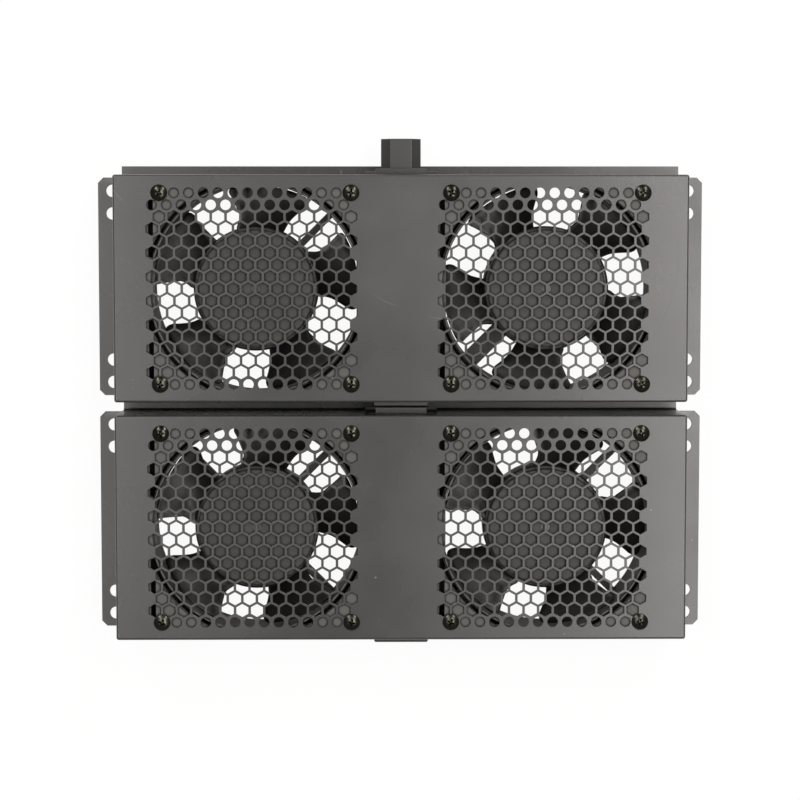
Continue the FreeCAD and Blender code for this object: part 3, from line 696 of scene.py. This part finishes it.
def cutWindow(bm, halfWidth, low, high, frontSide):  # an opening in the front or the rear wall
    for spot, normal in (
        ((halfWidth, 0, 0), (1, 0, 0)), ((-halfWidth, 0, 0), (1, 0, 0)),
        ((0, 0, low), (0, 0, 1)), ((0, 0, high), (0, 0, 1)),
    ):
        bmesh.ops.bisect_plane(
            bm, geom=bm.verts[:] + bm.edges[:] + bm.faces[:], dist=0.1 * weld,
            plane_co=spot, plane_no=normal,
        )
    wall = tray["halfLength"] - 10 * weld
    gone = []
    for face in bm.faces:
        middle = face.calc_center_median()
        outward = -middle.y if frontSide else middle.y
        if outward > wall and abs(middle.x) < halfWidth and low < middle.z < high:
            gone.append(face)
    bmesh.ops.delete(bm, geom=gone, context="FACES")


flange = {
    "earReach": 12.5 * mm,
    "earHalf": 61.5 * mm,
    "earChamfer": 3 * mm,
    "holeRadius": 3.5 * mm,
    "holeInset": 8.1 * mm,
    "holeLevels": (54 * mm, 41.3 * mm),
    "lipReach": 5.3 * mm,
    "lipHalf": 157 * mm,
    "foldRadius": 1.2 * mm,
    "foldAngles": (0, 22.5, 45, 67.5, 90),
}


def filledOutline(loops):  # a flat sheet with holes, from closed outlines
    curve = bpy.data.curves.new("outline", "CURVE")
    curve.dimensions = "2D"
    curve.fill_mode = "BOTH"
    for loop in loops:
        spline = curve.splines.new("POLY")
        spline.points.add(len(loop) - 1)
        for point, (x, y) in zip(spline.points, loop):
            point.co = (x, y, 0, 1)
        spline.use_cyclic_u = True
    holder = bpy.data.objects.new("outline", curve)
    bpy.context.scene.collection.objects.link(holder)
    bpy.context.view_layer.update()
    mesh = bpy.data.meshes.new_from_object(
        holder.evaluated_get(bpy.context.evaluated_depsgraph_get())
    )
    bpy.data.objects.remove(holder)
    return mesh


def circlePoints(x, y, radius, steps=32):
    turns = [2 * math.pi * s / steps for s in range(steps)]
    return [(x + radius * math.cos(turn), y + radius * math.sin(turn)) for turn in turns]


def foldPath(start, lift):  # points of (outward, up) from the flat sheet to the upright wall
    radius = flange["foldRadius"]
    turns = [math.radians(angle) for angle in flange["foldAngles"]]
    return [
        (start - radius * math.sin(turn), lift + radius - radius * math.cos(turn))
        for turn in turns
    ]


def addStrips(bm, corners, path):  # one face between each two rows of a path
    for before, after in zip(path, path[1:]):
        bm.faces.new([bm.verts.new(corner) for corner in corners(before, after)])


def addFlanges(bm):
    lift = tray["sheet"]
    fold = flange["foldRadius"]
    outer = tray["halfWidth"] + flange["earReach"]
    start = tray["halfWidth"] + fold
    half = flange["earHalf"]
    cut = flange["earChamfer"]
    for side in (-1, 1):
        loops = [[
            (side * start, -half), (side * (outer - cut), -half), (side * outer, cut - half),
            (side * outer, half - cut), (side * (outer - cut), half), (side * start, half),
        ]]
        for level in flange["holeLevels"]:
            for end in (-1, 1):
                loops.append(circlePoints(
                    side * (outer - flange["holeInset"]), end * level, flange["holeRadius"]
                ))
        sheetMesh = filledOutline(loops)
        sheetMesh.transform(Matrix.Translation((0, 0, lift)))
        bm.from_mesh(sheetMesh)
        addStrips(bm, lambda before, after: [
            (side * before[0], -half, before[1]), (side * before[0], half, before[1]),
            (side * after[0], half, after[1]), (side * after[0], -half, after[1]),
        ], foldPath(start, lift))
    lip = [(tray["halfLength"] + flange["lipReach"], lift)]
    lip += foldPath(tray["halfLength"] + fold, lift)
    reach = flange["lipHalf"]
    addStrips(bm, lambda before, after: [
        (-reach, *before), (reach, *before), (reach, *after), (-reach, *after),
    ], lip)
    bmesh.ops.remove_doubles(bm, verts=bm.verts, dist=weld)
    for face in bm.faces:  # the upper, outer side is the one that faces up
        if face.normal.z < -1e-4:
            face.normal_flip()


windows = {  # half width, low edge, high edge of the connector openings
    "front": (13.1 * mm, 11.65 * mm, 31.35 * mm),
    "rear": (12.2 * mm, 12.55 * mm, 30.45 * mm),
}


def makeTray(module, faceTree):
    plate = fromGeometryNodes(
        module + "Face", faceTree, {**pierced, "Material": trayFinishes[module]}
    )
    bm = bmesh.new()
    bm.from_mesh(plate.data)
    bmesh.ops.dissolve_degenerate(bm, edges=bm.edges, dist=20 * weld)
    for vertex in bm.verts:
        vertex.co.z = tray["depth"]
    bmesh.ops.dissolve_limit(bm, angle_limit=flatTurn, verts=bm.verts, edges=bm.edges)
    bpy.data.objects.remove(plate)
    addWalls(bm)
    bm.normal_update()
    centre = Vector((0, 0, tray["depth"] / 2))
    for face in bm.faces:
        if face.normal.dot(face.calc_center_median() - centre) < 0:
            face.normal_flip()
    cutWindow(bm, *windows["front"], frontSide=True)
    cutWindow(bm, *windows["rear"], frontSide=False)
    flat = bmesh.new()
    addFlanges(flat)
    flat.normal_update()
    flangeMesh = bpy.data.meshes.new("flanges")
    flat.to_mesh(flangeMesh)
    flat.free()
    bm.from_mesh(flangeMesh)
    piece = meshFrom(bm, module + "_folded_tray")
    thicken(piece, tray["sheet"])
    easeEdges(piece, tray["edgeRound"], 1, 50, clamp=False)
    settle(piece, flatFaces=True)
    for vertex in piece.data.vertices:  # nothing hangs under the sheet's lower face
        vertex.co.z = max(vertex.co.z, 0)
    piece.data.transform(Matrix.Translation((0, trayMiddle[module], 0)))
    placeOn(piece, module + "_module", module + "_tray", trayFinishes[module])
    print(piece.name, "triangles:", sum(len(p.vertices) - 2 for p in piece.data.polygons))


faceTree = piercedFaceTree()
for moduleName in moduleNames:
    makeTray(moduleName, faceTree)
print("trays made")

# ---- fan rotors ----

impeller = {
    "count": 5,
    "columns": 14,
    "rows": 16,
    "rowBias": 1.6,  # above 1, the rows of a blade's mesh crowd toward its tip
    "rootRadius": 33.2 * mm,
    "tipRadius": 56.5 * mm,
    "tipRound": 2.6 * mm,
    "thickness": 1.5 * mm,
    "camber": 1.6 * mm,
    "edgeRound": 0.35 * mm,
    # radius, then degrees from the gap's middle to the blade's low and high edge
    "plan": (
        (33, 16.8, 59), (36, 16.5, 57.5), (38, 16.2, 54.8), (41, 15.8, 53), (44, 14.5, 54),
        (48, 12.5, 55), (52, 10.5, 56), (56.5, 10.5, 57.5),
    ),
    # radius, then the heights of the blade's low and high edge over the fan's far side
    "rise": ((33, 12.5, 32.6), (44, 13.2, 32.2), (56.5, 15.2, 31.4)),
    "sleeve": ((32.5, 12), (34.3, 12), (34.3, 32.2), (33.8, 32.8), (33, 33), (32.5, 33)),
}


def between(rows, radius):  # straight-line reading of a table by its first column
    for before, after in zip(rows, rows[1:]):
        if radius <= after[0]:
            share = max(0, (radius - before[0]) / (after[0] - before[0]))
            return [a + (b - a) * share for a, b in zip(before[1:], after[1:])]
    return list(rows[-1][1:])


def addBlade(bm, centre, turn):
    root, tip = impeller["rootRadius"], impeller["tipRadius"]
    corner = impeller["tipRound"]
    columns, rows = impeller["columns"], impeller["rows"]
    grid = []
    for r in range(rows + 1):
        radius = root + (tip - root) * (1 - (1 - r / rows) ** impeller["rowBias"])
        start, end = between(impeller["plan"], radius / mm)
        low, high = between(impeller["rise"], radius / mm)
        over = max(0, radius - (tip - corner))
        trim = math.degrees((corner - math.sqrt(max(0, corner ** 2 - over ** 2))) / radius)
        start += trim
        end -= trim
        line = []
        for c in range(columns + 1):
            u = c / columns
            angle = math.radians(turn + start + (end - start) * u)
            height = (low + (high - low) * u) * mm + impeller["camber"] * math.sin(math.pi * u)
            line.append(bm.verts.new(centre + Vector((
                radius * math.cos(angle), radius * math.sin(angle), height,
            ))))
        grid.append(line)
    for first, second in zip(grid, grid[1:]):
        for c in range(columns):
            bm.faces.new((first[c], second[c], second[c + 1], first[c + 1]))


def makeImpeller(name):
    centre = fanPlace(name)
    bm = bmesh.new()
    for blade in range(impeller["count"]):
        addBlade(bm, centre, fan["gapAngles"][name] + blade * 360 / impeller["count"])
    bm.normal_update()
    for face in bm.faces:
        if face.normal.z < 0:
            face.normal_flip()
    blades = meshFrom(bm, name + "_blades", 60)
    thicken(blades, impeller["thickness"], 0)
    easeEdges(blades, impeller["edgeRound"], 2, 50)
    settle(blades, 40)
    bm = bmesh.new()
    bm.from_mesh(blades.data)
    bpy.data.objects.remove(blades)
    lathe(bm, [(r * mm, z * mm) for r, z in impeller["sleeve"]], centre, 120)
    bmesh.ops.recalc_face_normals(bm, faces=bm.faces)
    piece = meshFrom(bm, name + "_impeller_moulding", 40)
    placeOn(piece, name + "_rotor", name + "_impeller", finishes["blade"])


cup = {
    "radius": 32.4 * mm,
    "top": 36.5 * mm,
    "start": 9 * mm,
    "wall": 1.3 * mm,
    "round": 1.6 * mm,
    "hole": 2.5 * mm,
    "lead": 0.5 * mm,
    "leadStep": (0.15 * mm, 0.12 * mm),
    "boss": 5 * mm,
    "bossLength": 4 * mm,
}


def makeCup(name):
    centre = fanPlace(name)
    radius, hole, boss = cup["radius"], cup["hole"], cup["boss"]
    top, wall, lead = cup["top"], cup["wall"], cup["lead"]
    corner = (radius - cup["round"], top - cup["round"])
    stepIn, stepDown = cup["leadStep"]
    end = top - wall - cup["bossLength"]
    profile = (
        [(hole, top - lead), (hole + stepIn, top - stepDown), (hole + lead, top), (radius / 2, top)]
        + arc(corner, cup["round"], 90, 0, 6)
        + [(radius, cup["start"]), (radius - wall, cup["start"])]
        + arc(corner, cup["round"] - wall, 0, 90, 3)
        + [(boss, top - wall), (boss, end), (hole, end)]
    )
    bm = bmesh.new()
    lathe(bm, profile, centre, 128)
    bmesh.ops.recalc_face_normals(bm, faces=bm.faces)
    piece = meshFrom(bm, name + "_rotor_hub", 30)
    placeOn(piece, name + "_rotor", name + "_rotor_cup",
            hubMaterial(name + "Hub", centre))


for fanName in fanNames:
    makeImpeller(fanName)
    makeCup(fanName)
print("rotors made")

# ---- fan frames and connectors, eased copies of their solids ----

rim = {  # the frame's flange under the face: an outer wall with through-slots inside it
    "low": 34 * mm,
    "high": 38 * mm,
    "half": 60 * mm,
    "inner": 55.4 * mm,
    "slot": (55.9 * mm, 59 * mm),
    "slotReach": (18 * mm, 51 * mm),
    "ringSlot": (58.5 * mm, 61.2 * mm),
    "ringSlotAngles": (16.5, 73.5),
    "bore": 50 * mm,
    "flare": ((40, 58.2), (37.9, 57.9), (36.8, 57.6), (35, 57.4)),  # height, radius of the inlet
    "overcut": 1 * mm,
}


def addBlock(bm, centre, turn, low, high):
    spin = Matrix.Rotation(math.radians(turn), 4, "Z")
    size = Matrix.Diagonal((*(Vector(high) - Vector(low)), 1))
    middle = Matrix.Translation((Vector(low) + Vector(high)) / 2)
    bmesh.ops.create_cube(bm, size=1, matrix=Matrix.Translation(centre) @ spin @ middle @ size)


def addArcBlock(bm, centre, turn, low, high, steps=20):
    first, last = rim["ringSlotAngles"]
    inner, outer = rim["ringSlot"]
    loops = []
    for step in range(steps + 1):
        angle = math.radians(turn + first + (last - first) * step / steps)
        way = Vector((math.cos(angle), math.sin(angle), 0))
        loops.append([bm.verts.new(centre + way * r + Vector((0, 0, z)))
                      for r, z in ((inner, low), (outer, low), (outer, high), (inner, high))])
    for before, after in zip(loops, loops[1:]):
        bridge(bm, before, after)
    bm.faces.new(loops[0])
    bm.faces.new(list(reversed(loops[-1])))


def combine(piece, bm, operation):
    bmesh.ops.recalc_face_normals(bm, faces=bm.faces)
    tool = meshFrom(bm, "shapingTool")
    change = piece.modifiers.new("change", "BOOLEAN")
    change.object = tool
    change.operation = operation
    change.solver = "EXACT"
    change.use_self = True
    settle(piece)
    bpy.data.objects.remove(tool)


def slotFlange(piece, centre):
    low, high, half = rim["low"], rim["high"], rim["half"]
    bars = bmesh.new()
    for turn in range(0, 360, 90):
        addBlock(bars, centre, turn, (rim["inner"], -half, low), (half, half, high))
    combine(piece, bars, "UNION")
    slots = bmesh.new()
    under, over = low - rim["overcut"], high + rim["overcut"]
    near, far = rim["slotReach"]
    inner, outer = rim["slot"]
    for turn in range(0, 360, 90):
        addArcBlock(slots, centre, turn, under, over)
        for start, end in ((near, far), (-far, -near)):
            addBlock(slots, centre, turn, (inner, start, under), (outer, end, over))
    combine(piece, slots, "DIFFERENCE")
    inlet = bmesh.new()
    flare = [(radius * mm, height * mm) for height, radius in rim["flare"]]
    flare = [(rim["bore"], flare[0][1])] + flare + [(rim["bore"], flare[-1][1])]
    lathe(inlet, flare, centre, 128)
    combine(piece, inlet, "DIFFERENCE")


wing = {  # where the outlet's side clips are, and how far their outer edges fall
    "from": 14 * mm,
    "beyond": 1 * mm,
    "low": 28 * mm,
    "high": 31 * mm,
    "drop": 2.1 * mm,
}


def slopeWings(piece, centre):
    for vertex in piece.data.vertices:
        x, y, z = vertex.co
        past = y - centre.y - tray["halfLength"] > wing["beyond"]
        if past and abs(x) > wing["from"] and wing["low"] < z < wing["high"]:
            vertex.co.z -= wing["drop"]


eased = {"frame": 0.2 * mm, "bottom_cover": 0.25 * mm, "housing": 0.3 * mm}  # edge widths

for fanName in fanNames:
    piece = softened(
        fanName + "_frame", eased["frame"], change=slotFlange, centre=fanPlace(fanName)
    )
    placeOn(piece, fanName.split("_")[0] + "_module", fanName + "_frame",
            finishes["frame"])
for moduleName in moduleNames:
    body = moduleName + "_module"
    piece = softened(moduleName + "_bottom_cover", eased["bottom_cover"])
    placeOn(piece, body, moduleName + "_bottom_cover",
            trayFinishes[moduleName])
    for part, change in (("inlet_housing", None), ("outlet_housing", slopeWings)):
        node = f"{moduleName}_{part}"
        centre = Vector((0, trayMiddle[moduleName], 0))
        piece = softened(node, eased["housing"], change=change, centre=centre)
        placeOn(piece, body, node, finishes["plug"])
print("frames, covers and connectors made")

# ---- screws ----

screw = {
    "headRadius": 4.6 * mm,
    "headHeight": 2.35 * mm,
    # the head's outline, as shares of its radius and height
    "dome": ((0.97, 0), (1, 0.05), (1, 0.19), (0.96, 0.29), (0.9, 0.375), (0.8, 0.514),
             (0.65, 0.69), (0.5, 0.821), (0.35, 0.914), (0.2, 0.972), (0.004, 1)),
    "shankRadius": 2 * mm,
    "shankLength": 12 * mm,
    "tipRadius": 0.02 * mm,
    # half length and half width of the cross, and height from the top: at its floor, then above
    "recess": ((0.5 * mm, 0.2 * mm, -2.2 * mm), (2.8 * mm, 0.66 * mm, 0.4 * mm)),
}


def makeScrewMaster():
    top = screw["headHeight"]
    shank = screw["shankRadius"]
    end = -screw["shankLength"]
    profile = [(screw["tipRadius"], end), (shank, end), (shank, 0)]
    profile += [(screw["headRadius"] * across, top * up) for across, up in screw["dome"]]
    bm = bmesh.new()
    lathe(bm, profile, Vector((0, 0, 0)), 32)
    bmesh.ops.remove_doubles(bm, verts=bm.verts, dist=50 * weld)  # closes both ends
    bmesh.ops.holes_fill(bm, edges=bm.edges)
    bmesh.ops.recalc_face_normals(bm, faces=bm.faces)
    head = meshFrom(bm, "screwMaster")
    cutter = bmesh.new()
    layers = []
    for arm, wide, height in screw["recess"]:
        quarter = [(arm, wide), (wide, wide), (wide, arm)]
        outline = []
        for turn in range(4):
            spin = Matrix.Rotation(math.radians(90 * turn), 3, "Z")
            outline += [cutter.verts.new(spin @ Vector((x, y, top + height))) for x, y in quarter]
        layers.append(outline)
    cutter.faces.new(list(reversed(layers[0])))
    cutter.faces.new(layers[1])
    bridge(cutter, layers[0], layers[1])
    combine(head, cutter, "DIFFERENCE")
    return head


screwSet = {
    "Fan Spacing": tray["fanSpacing"],
    "Pitch": tray["screwPitch"],
    "Face Height": tray["depth"],
    "Cover Height": 2.6 * mm,
    "Middle": 0.0,
    "Seed": 3,
}


def screwTree():
    tree, given, out = newTree(
        "screwSet", "GeometryNodeTree",
        numberInputs(screwSet) + [
            ("Screw", "NodeSocketObject", None), ("Material", "NodeSocketMaterial", None),
        ],
        [("Geometry", "NodeSocketGeometry")],
    )
    square = addNode(tree, "GeometryNodeMeshGrid", {
        "Size X": given["Pitch"], "Size Y": given["Pitch"], "Vertices X": 2, "Vertices Y": 2,
    }).outputs[0]
    master = addNode(tree, "GeometryNodeObjectInfo", {"Object": given["Screw"]})
    turn = addNode(tree, "FunctionNodeRandomValue", {"Seed": given["Seed"]}, data_type="FLOAT")
    for socket in turn.inputs:
        if socket.name == "Max" and socket.enabled:
            socket.default_value = math.pi / 2
    value = next(s for s in turn.outputs if s.enabled)
    copies = addNode(tree, "GeometryNodeJoinGeometry")
    for height, tilt in (("Face Height", 0.0), ("Cover Height", math.pi)):  # the lower set hangs
        spin = addNode(tree, "ShaderNodeCombineXYZ", {0: tilt, 2: value})
        for side in (-0.5, 0.5):
            shift = addNode(tree, "ShaderNodeCombineXYZ", {
                0: calc(tree, "MULTIPLY", given["Fan Spacing"], side),
                1: given["Middle"], 2: given[height],
            })
            moved = addNode(tree, "GeometryNodeTransform", {
                "Geometry": square, "Translation": shift.outputs[0],
            })
            placed = addNode(tree, "GeometryNodeInstanceOnPoints", {
                "Points": moved.outputs[0], "Instance": master.outputs["Geometry"],
                "Rotation": spin.outputs[0],
            })
            tree.links.new(placed.outputs[0], copies.inputs[0])
    real = addNode(tree, "GeometryNodeRealizeInstances", {0: copies.outputs[0]})
    plated = addNode(tree, "GeometryNodeSetMaterial", {
        "Geometry": real.outputs[0], "Material": given["Material"],
    })
    tree.links.new(plated.outputs[0], out["Geometry"])
    return tree


master = makeScrewMaster()
screws = screwTree()
for number, moduleName in enumerate(moduleNames):
    piece = fromGeometryNodes(moduleName + "_face_screws", screws, {
        **screwSet, "Middle": trayMiddle[moduleName], "Seed": screwSet["Seed"] + number,
        "Screw": master, "Material": finishes["screw"],
    })
    placeOn(piece, moduleName + "_module", moduleName + "_fan_screws",
            finishes["screw"])
bpy.data.objects.remove(master)
print("screws made")

# ---- finishes of the parts that keep their own solids ----

nodeFinishes = {
    "fan_nuts": "zinc", "terminal_blocks": "nylon", "fan_terminals": "tinned",
    "inlet_pins": "nickel", "outlet_contacts": "contact", "bearing_cap": "plug",
    "bearings": "bearing", "stator_core": "lamination", "windings": "copper", "shaft": "shaft",
    "retaining_ring": "spring", "rotor_iron": "iron",
}
for nodeName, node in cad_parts.items():
    if node.hide_render:
        continue
    key = next(k for k in nodeFinishes if nodeName.endswith(k))
    node.data.materials.clear()
    node.data.materials.append(finishes[nodeFinishes[key]])

# ---- floor, lamps, camera ----

studio = {
    "floorSize": 4.0,
    "floorLevel": -0.2 * mm,
    "floorColour": (0.9, 0.9, 0.9, 1),
    "glow": 0.94,
    "glossyGlow": 0.25,
    "worldLevel": 0.15,
    "glossyWorld": 0.2,
}
white, warm = (1, 1, 1), (1, 0.965, 0.94)
middle = (0, 0, 0.04)
lamps = {  # place, target, size, power, colour
    "leftSoftbox": ((-0.53, 0.34, 1.25), (-0.053, 0.17, 0.04), (0.48, 1.7), 9.5, warm),
    "leftRearLamp": ((-0.742, 1.03, 0.81), middle, (0.2, 0.5), 4, white),
    "rightSoftbox": ((0.51, 0.1, 1.25), (0.051, 0.05, 0.04), (0.48, 1.7), 16.3, warm),
    "rightRearLamp": ((0.714, 1.03, 0.81), middle, (0.2, 0.5), 4, white),
    "overheadSoftbox": ((0, 0.1, 2.2), middle, (1.6, 1.6), 0.8, white),
}


def makeFloor():
    material = bpy.data.materials.new("paleFloor")
    material.use_nodes = True
    tree = material.node_tree
    tree.nodes.clear()
    rays = addNode(tree, "ShaderNodeLightPath").outputs
    glossy = calc(tree, "MULTIPLY", rays["Is Glossy Ray"], studio["glossyGlow"])
    seen = calc(tree, "MAXIMUM", rays["Is Camera Ray"], glossy)
    seen = calc(tree, "MAXIMUM", seen, rays["Is Transmission Ray"])
    paint = addNode(tree, "ShaderNodeBsdfDiffuse", {"Color": studio["floorColour"]})
    glow = addNode(tree, "ShaderNodeEmission", {"Color": (1, 1, 1, 1), "Strength": 1.0})
    mix = addNode(tree, "ShaderNodeMixShader", {
        0: calc(tree, "MULTIPLY", seen, studio["glow"]), 1: paint.outputs[0], 2: glow.outputs[0],
    })
    addNode(tree, "ShaderNodeOutputMaterial", {0: mix.outputs[0]})
    bm = bmesh.new()
    half, level = studio["floorSize"] / 2, studio["floorLevel"]
    corners = ((-half, -half), (half, -half), (half, half), (-half, half))
    bm.faces.new([bm.verts.new((x, y, level)) for x, y in corners])
    floor = meshFrom(bm, "studio_floor")
    floor.data.materials.append(material)


def makeWorld():
    world = bpy.data.worlds.new("studio")
    bpy.context.scene.world = world
    world.use_nodes = True
    tree = world.node_tree
    tree.nodes.clear()
    rays = addNode(tree, "ShaderNodeLightPath").outputs
    seen = calc(tree, "MAXIMUM", rays["Is Camera Ray"], rays["Is Transmission Ray"])
    strength = addNode(tree, "ShaderNodeMapRange", {
        "Value": seen, "To Min": studio["worldLevel"], "To Max": 1.0,
    }).outputs[0]
    mirrored = calc(tree, "MULTIPLY", rays["Is Glossy Ray"], studio["glossyWorld"])
    strength = calc(tree, "MAXIMUM", strength, mirrored)
    back = addNode(tree, "ShaderNodeBackground", {"Color": (1, 1, 1, 1), "Strength": strength})
    addNode(tree, "ShaderNodeOutputWorld", {0: back.outputs[0]})


def aim(place, target):  # looks from place at target with world +Y up in the view
    back = (Vector(place) - Vector(target)).normalized()
    across = Vector((0, 1, 0)).cross(back).normalized()
    return Matrix((across, back.cross(across), back)).transposed().to_euler()


def makeLamp(name, place, target, size, power, colour):
    lamp = bpy.data.lights.new(name, "AREA")
    lamp.color = colour
    lamp.shape = "RECTANGLE"
    lamp.size, lamp.size_y = size
    lamp.energy = power
    holder = bpy.data.objects.new(name, lamp)
    bpy.context.scene.collection.objects.link(holder)
    holder.location = place
    holder.rotation_euler = aim(place, target)


makeFloor()
makeWorld()
for lampName, settings in lamps.items():
    makeLamp(lampName, *settings)

view = {
    "place": (-0.0155, 0.0971, 1.333),
    "target": (-0.0007, -0.0034, 0.043),
    "lens": 105.75,
    "sensor": 36,
}
camera = bpy.data.cameras.new("camera")
camera.lens = view["lens"]
camera.sensor_width = view["sensor"]
cameraHolder = bpy.data.objects.new("camera", camera)
bpy.context.scene.collection.objects.link(cameraHolder)
cameraHolder.location = view["place"]
cameraHolder.rotation_euler = aim(view["place"], view["target"])
bpy.context.scene.camera = cameraHolder
bpy.context.scene.view_settings.view_transform = "Standard"
print("studio ready")
